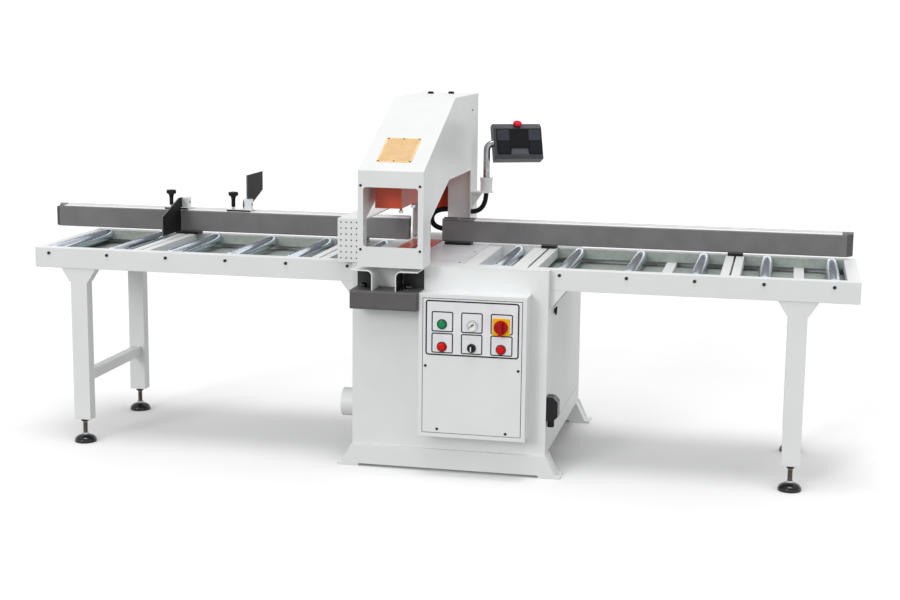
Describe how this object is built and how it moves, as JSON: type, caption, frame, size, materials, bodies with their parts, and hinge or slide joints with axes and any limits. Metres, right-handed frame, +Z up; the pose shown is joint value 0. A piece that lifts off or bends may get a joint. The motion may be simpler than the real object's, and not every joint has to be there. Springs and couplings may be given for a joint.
{
  "type": "cut-off saw",
  "caption": "Floor-standing pneumatic up-cut saw: cabinet with hood over a rising blade, roller tables, fences with flip stops, two-hand console, control box and swivel pendant.",
  "frame": {"origin": "on the floor, at the centre of the four anchor holes in the cabinet's foot beams", "axes": "+X along the roller tables to the operator's right, +Y to the back, +Z up"},
  "size_m": [3.402, 1.0973, 1.421],
  "materials": {
    "white_paint": "satin",
    "dark_grey_paint": "satin",
    "orange_paint": "gloss",
    "amber_paint": "satin",
    "bare_steel": "brushed",
    "chrome": "polished",
    "zinc_steel": "zinc plated",
    "aluminium": "satin",
    "black_plastic": "satin",
    "gloss_black_plastic": "gloss",
    "red_plastic": "gloss",
    "green_plastic": "gloss",
    "clear_sheet": "clear polycarbonate",
    "black_rubber": "matte"
  },
  "bodies": {
    "machine": {"cabinet_body": "white_paint", "centre_deck": "white_paint", "table_plate": "bare_steel", "table_insert": "orange_paint", "hood_shell": "white_paint", "window_pane": "clear_sheet", "vent_plate": "amber_paint", "clamp_cylinder_and_posts": "chrome", "hoses_and_glands": "black_rubber", "console_tray": "dark_grey_paint", "control_box": "white_paint", "control_cover": "white_paint", "left_table_frame": "white_paint", "right_table_frame": "white_paint", "leg_frames": "white_paint", "levelling_feet": "black_plastic", "left_fence": "dark_grey_paint", "right_fence": "dark_grey_paint", "pendant_bracket": "white_paint", "power_inlet": "black_plastic"},
    "door": {"side_door": "white_paint"},
    "latch": {"door_latch": "black_plastic"},
    "clamp": {"clamp_guard": "orange_paint"},
    "start_left": {"start_button_left": "gloss_black_plastic"},
    "start_right": {"start_button_right": "gloss_black_plastic"},
    "push_green": {"green_button": "green_plastic"},
    "push_red_left": {"red_button_left": "red_plastic"},
    "push_red_right": {"red_button_right": "red_plastic"},
    "needle": {"gauge_needle": "black_plastic"},
    "selector": {"selector_knob": "black_plastic"},
    "isolator": {"main_switch": "red_plastic"},
    "pendant": {"pendant_pipe": "chrome", "pendant_box": "dark_grey_paint"},
    "emergency": {"emergency_stop": "red_plastic"},
    "arm": {"saw_arm": "white_paint", "motor": "aluminium", "drive_belt": "black_rubber"},
    "blade": {"saw_blade": "bare_steel", "spindle": "bare_steel"},
    "drive_pulley": {"motor_pulley": "bare_steel"},
    "lift_barrel": {"lift_cylinder": "aluminium"},
    "lift_ram": {"lift_rod": "chrome"},
    "stop_1_carriage": {"stop_1_base": "aluminium"},
    "stop_1_flap": {"stop_1_plate": "black_plastic"},
    "stop_1_screw": {"stop_1_knob": "black_plastic"},
    "stop_2_carriage": {"stop_2_base": "aluminium"},
    "stop_2_flap": {"stop_2_plate": "black_plastic"},
    "stop_2_screw": {"stop_2_knob": "black_plastic"},
    "roller_left_1_body": {"roller_left_1": "zinc_steel"},
    "roller_left_2_body": {"roller_left_2": "zinc_steel"},
    "roller_left_3_body": {"roller_left_3": "zinc_steel"},
    "roller_left_4_body": {"roller_left_4": "zinc_steel"},
    "roller_left_5_body": {"roller_left_5": "zinc_steel"},
    "roller_left_6_body": {"roller_left_6": "zinc_steel"},
    "roller_right_1_body": {"roller_right_1": "zinc_steel"},
    "roller_right_2_body": {"roller_right_2": "zinc_steel"},
    "roller_right_3_body": {"roller_right_3": "zinc_steel"},
    "roller_right_4_body": {"roller_right_4": "zinc_steel"},
    "roller_right_5_body": {"roller_right_5": "zinc_steel"},
    "roller_right_6_body": {"roller_right_6": "zinc_steel"}
  },
  "joints": [
    {"name": "door_swing", "type": "hinge", "parent": "machine", "child": "door", "pos_m": [0.38, 0.4452, 0.4], "axis": [0, 0, 1], "range_deg": [0, 110]},
    {"name": "latch_turn", "type": "hinge", "parent": "door", "child": "latch", "pos_m": [0.38, -0.316, 0.622], "axis": [1, 0, 0], "range_deg": [0, 90]},
    {"name": "clamp_drop", "type": "slide", "parent": "machine", "child": "clamp", "axis": [0, 0, 1], "range_m": [-0.18, 0]},
    {"name": "start_left_press", "type": "slide", "parent": "machine", "child": "start_left", "axis": [0, 0, -1], "range_m": [0, 0.005], "stiffness_N_per_m": 600},
    {"name": "start_right_press", "type": "slide", "parent": "machine", "child": "start_right", "axis": [0, 0, -1], "range_m": [0, 0.005], "stiffness_N_per_m": 600},
    {"name": "green_press", "type": "slide", "parent": "machine", "child": "push_green", "axis": [0, 1, 0], "range_m": [0, 0.004], "stiffness_N_per_m": 600},
    {"name": "red_left_press", "type": "slide", "parent": "machine", "child": "push_red_left", "axis": [0, 1, 0], "range_m": [0, 0.004], "stiffness_N_per_m": 600},
    {"name": "red_right_press", "type": "slide", "parent": "machine", "child": "push_red_right", "axis": [0, 1, 0], "range_m": [0, 0.004], "stiffness_N_per_m": 600},
    {"name": "needle_turn", "type": "hinge", "parent": "machine", "child": "needle", "pos_m": [0.109, -0.578, 0.597], "axis": [0, 1, 0], "range_deg": [-90, 180], "stiffness_Nm_per_rad": 0.002},
    {"name": "selector_turn", "type": "hinge", "parent": "machine", "child": "selector", "pos_m": [0.109, -0.578, 0.511], "axis": [0, 1, 0], "range_deg": [-45, 45]},
    {"name": "isolator_turn", "type": "hinge", "parent": "machine", "child": "isolator", "pos_m": [0.22, -0.578, 0.597], "axis": [0, 1, 0], "range_deg": [0, 90]},
    {"name": "pendant_swivel", "type": "hinge", "parent": "machine", "child": "pendant", "pos_m": [-0.014, 0.318, 1.05], "axis": [0, 0, 1], "range_deg": [-110, 50]},
    {"name": "emergency_press", "type": "slide", "parent": "pendant", "child": "emergency", "axis": [-0.1589, 0.3569, -0.9205], "range_m": [0, 0.005], "stiffness_N_per_m": 1000},
    {"name": "arm_swing", "type": "hinge", "parent": "machine", "child": "arm", "pos_m": [-0.13, 0.33, 0.46], "axis": [-1, 0, 0], "range_deg": [0, 20]},
    {"name": "blade_spin", "type": "hinge", "parent": "arm", "child": "blade", "pos_m": [-0.246, -0.06, 0.552], "axis": [1, 0, 0], "continuous": true},
    {"name": "drive_pulley_spin", "type": "hinge", "parent": "arm", "child": "drive_pulley", "pos_m": [-0.08, 0.25, 0.33], "axis": [1, 0, 0], "continuous": true},
    {"name": "lift_tilt", "type": "hinge", "parent": "machine", "child": "lift_barrel", "pos_m": [-0.165, -0.02, 0.15], "axis": [-1, 0, 0], "range_deg": [0, 3]},
    {"name": "lift_stroke", "type": "slide", "parent": "lift_barrel", "child": "lift_ram", "axis": [0, 0, 1], "range_m": [0, 0.121]},
    {"name": "stop_1_slide", "type": "slide", "parent": "machine", "child": "stop_1_carriage", "axis": [1, 0, 0], "range_m": [-0.45, 0.15]},
    {"name": "stop_1_flip", "type": "hinge", "parent": "stop_1_carriage", "child": "stop_1_flap", "pos_m": [-1.309, 0.147, 0.934], "axis": [-1, 0, 0], "range_deg": [0, 180]},
    {"name": "stop_1_knob_turn", "type": "hinge", "parent": "stop_1_carriage", "child": "stop_1_screw", "pos_m": [-1.361, 0.1415, 0.95], "axis": [0, 0, 1], "continuous": true},
    {"name": "stop_2_slide", "type": "slide", "parent": "machine", "child": "stop_2_carriage", "axis": [1, 0, 0], "range_m": [-0.15, 0.5]},
    {"name": "stop_2_flip", "type": "hinge", "parent": "stop_2_carriage", "child": "stop_2_flap", "pos_m": [-1.028, 0.147, 0.934], "axis": [-1, 0, 0], "range_deg": [-180, 0]},
    {"name": "stop_2_knob_turn", "type": "hinge", "parent": "stop_2_carriage", "child": "stop_2_screw", "pos_m": [-1.08, 0.1415, 0.95], "axis": [0, 0, 1], "continuous": true},
    {"name": "roller_left_1_spin", "type": "hinge", "parent": "machine", "child": "roller_left_1_body", "pos_m": [-0.412, -0.1255, 0.779], "axis": [0, 1, 0], "continuous": true},
    {"name": "roller_left_2_spin", "type": "hinge", "parent": "machine", "child": "roller_left_2_body", "pos_m": [-0.6605, -0.1255, 0.779], "axis": [0, 1, 0], "continuous": true},
    {"name": "roller_left_3_spin", "type": "hinge", "parent": "machine", "child": "roller_left_3_body", "pos_m": [-0.909, -0.1255, 0.779], "axis": [0, 1, 0], "continuous": true},
    {"name": "roller_left_4_spin", "type": "hinge", "parent": "machine", "child": "roller_left_4_body", "pos_m": [-1.1575, -0.1255, 0.779], "axis": [0, 1, 0], "continuous": true},
    {"name": "roller_left_5_spin", "type": "hinge", "parent": "machine", "child": "roller_left_5_body", "pos_m": [-1.406, -0.1255, 0.779], "axis": [0, 1, 0], "continuous": true},
    {"name": "roller_left_6_spin", "type": "hinge", "parent": "machine", "child": "roller_left_6_body", "pos_m": [-1.6545, -0.1255, 0.779], "axis": [0, 1, 0], "continuous": true},
    {"name": "roller_right_1_spin", "type": "hinge", "parent": "machine", "child": "roller_right_1_body", "pos_m": [0.162, -0.1255, 0.779], "axis": [0, 1, 0], "continuous": true},
    {"name": "roller_right_2_spin", "type": "hinge", "parent": "machine", "child": "roller_right_2_body", "pos_m": [0.4135, -0.1255, 0.779], "axis": [0, 1, 0], "continuous": true},
    {"name": "roller_right_3_spin", "type": "hinge", "parent": "machine", "child": "roller_right_3_body", "pos_m": [0.665, -0.1255, 0.779], "axis": [0, 1, 0], "continuous": true},
    {"name": "roller_right_4_spin", "type": "hinge", "parent": "machine", "child": "roller_right_4_body", "pos_m": [0.9165, -0.1255, 0.779], "axis": [0, 1, 0], "continuous": true},
    {"name": "roller_right_5_spin", "type": "hinge", "parent": "machine", "child": "roller_right_5_body", "pos_m": [1.168, -0.1255, 0.779], "axis": [0, 1, 0], "continuous": true},
    {"name": "roller_right_6_spin", "type": "hinge", "parent": "machine", "child": "roller_right_6_body", "pos_m": [1.4195, -0.1255, 0.779], "axis": [0, 1, 0], "continuous": true}
  ],
  "couplings": [
    {"joint": "drive_pulley_spin", "follows": "blade_spin", "ratio": 0.83333},
    {"joint": "lift_tilt", "follows": "arm_swing", "ratio": 0.1405},
    {"joint": "lift_stroke", "follows": "arm_swing", "m_per_rad": 0.3443}
  ]
}
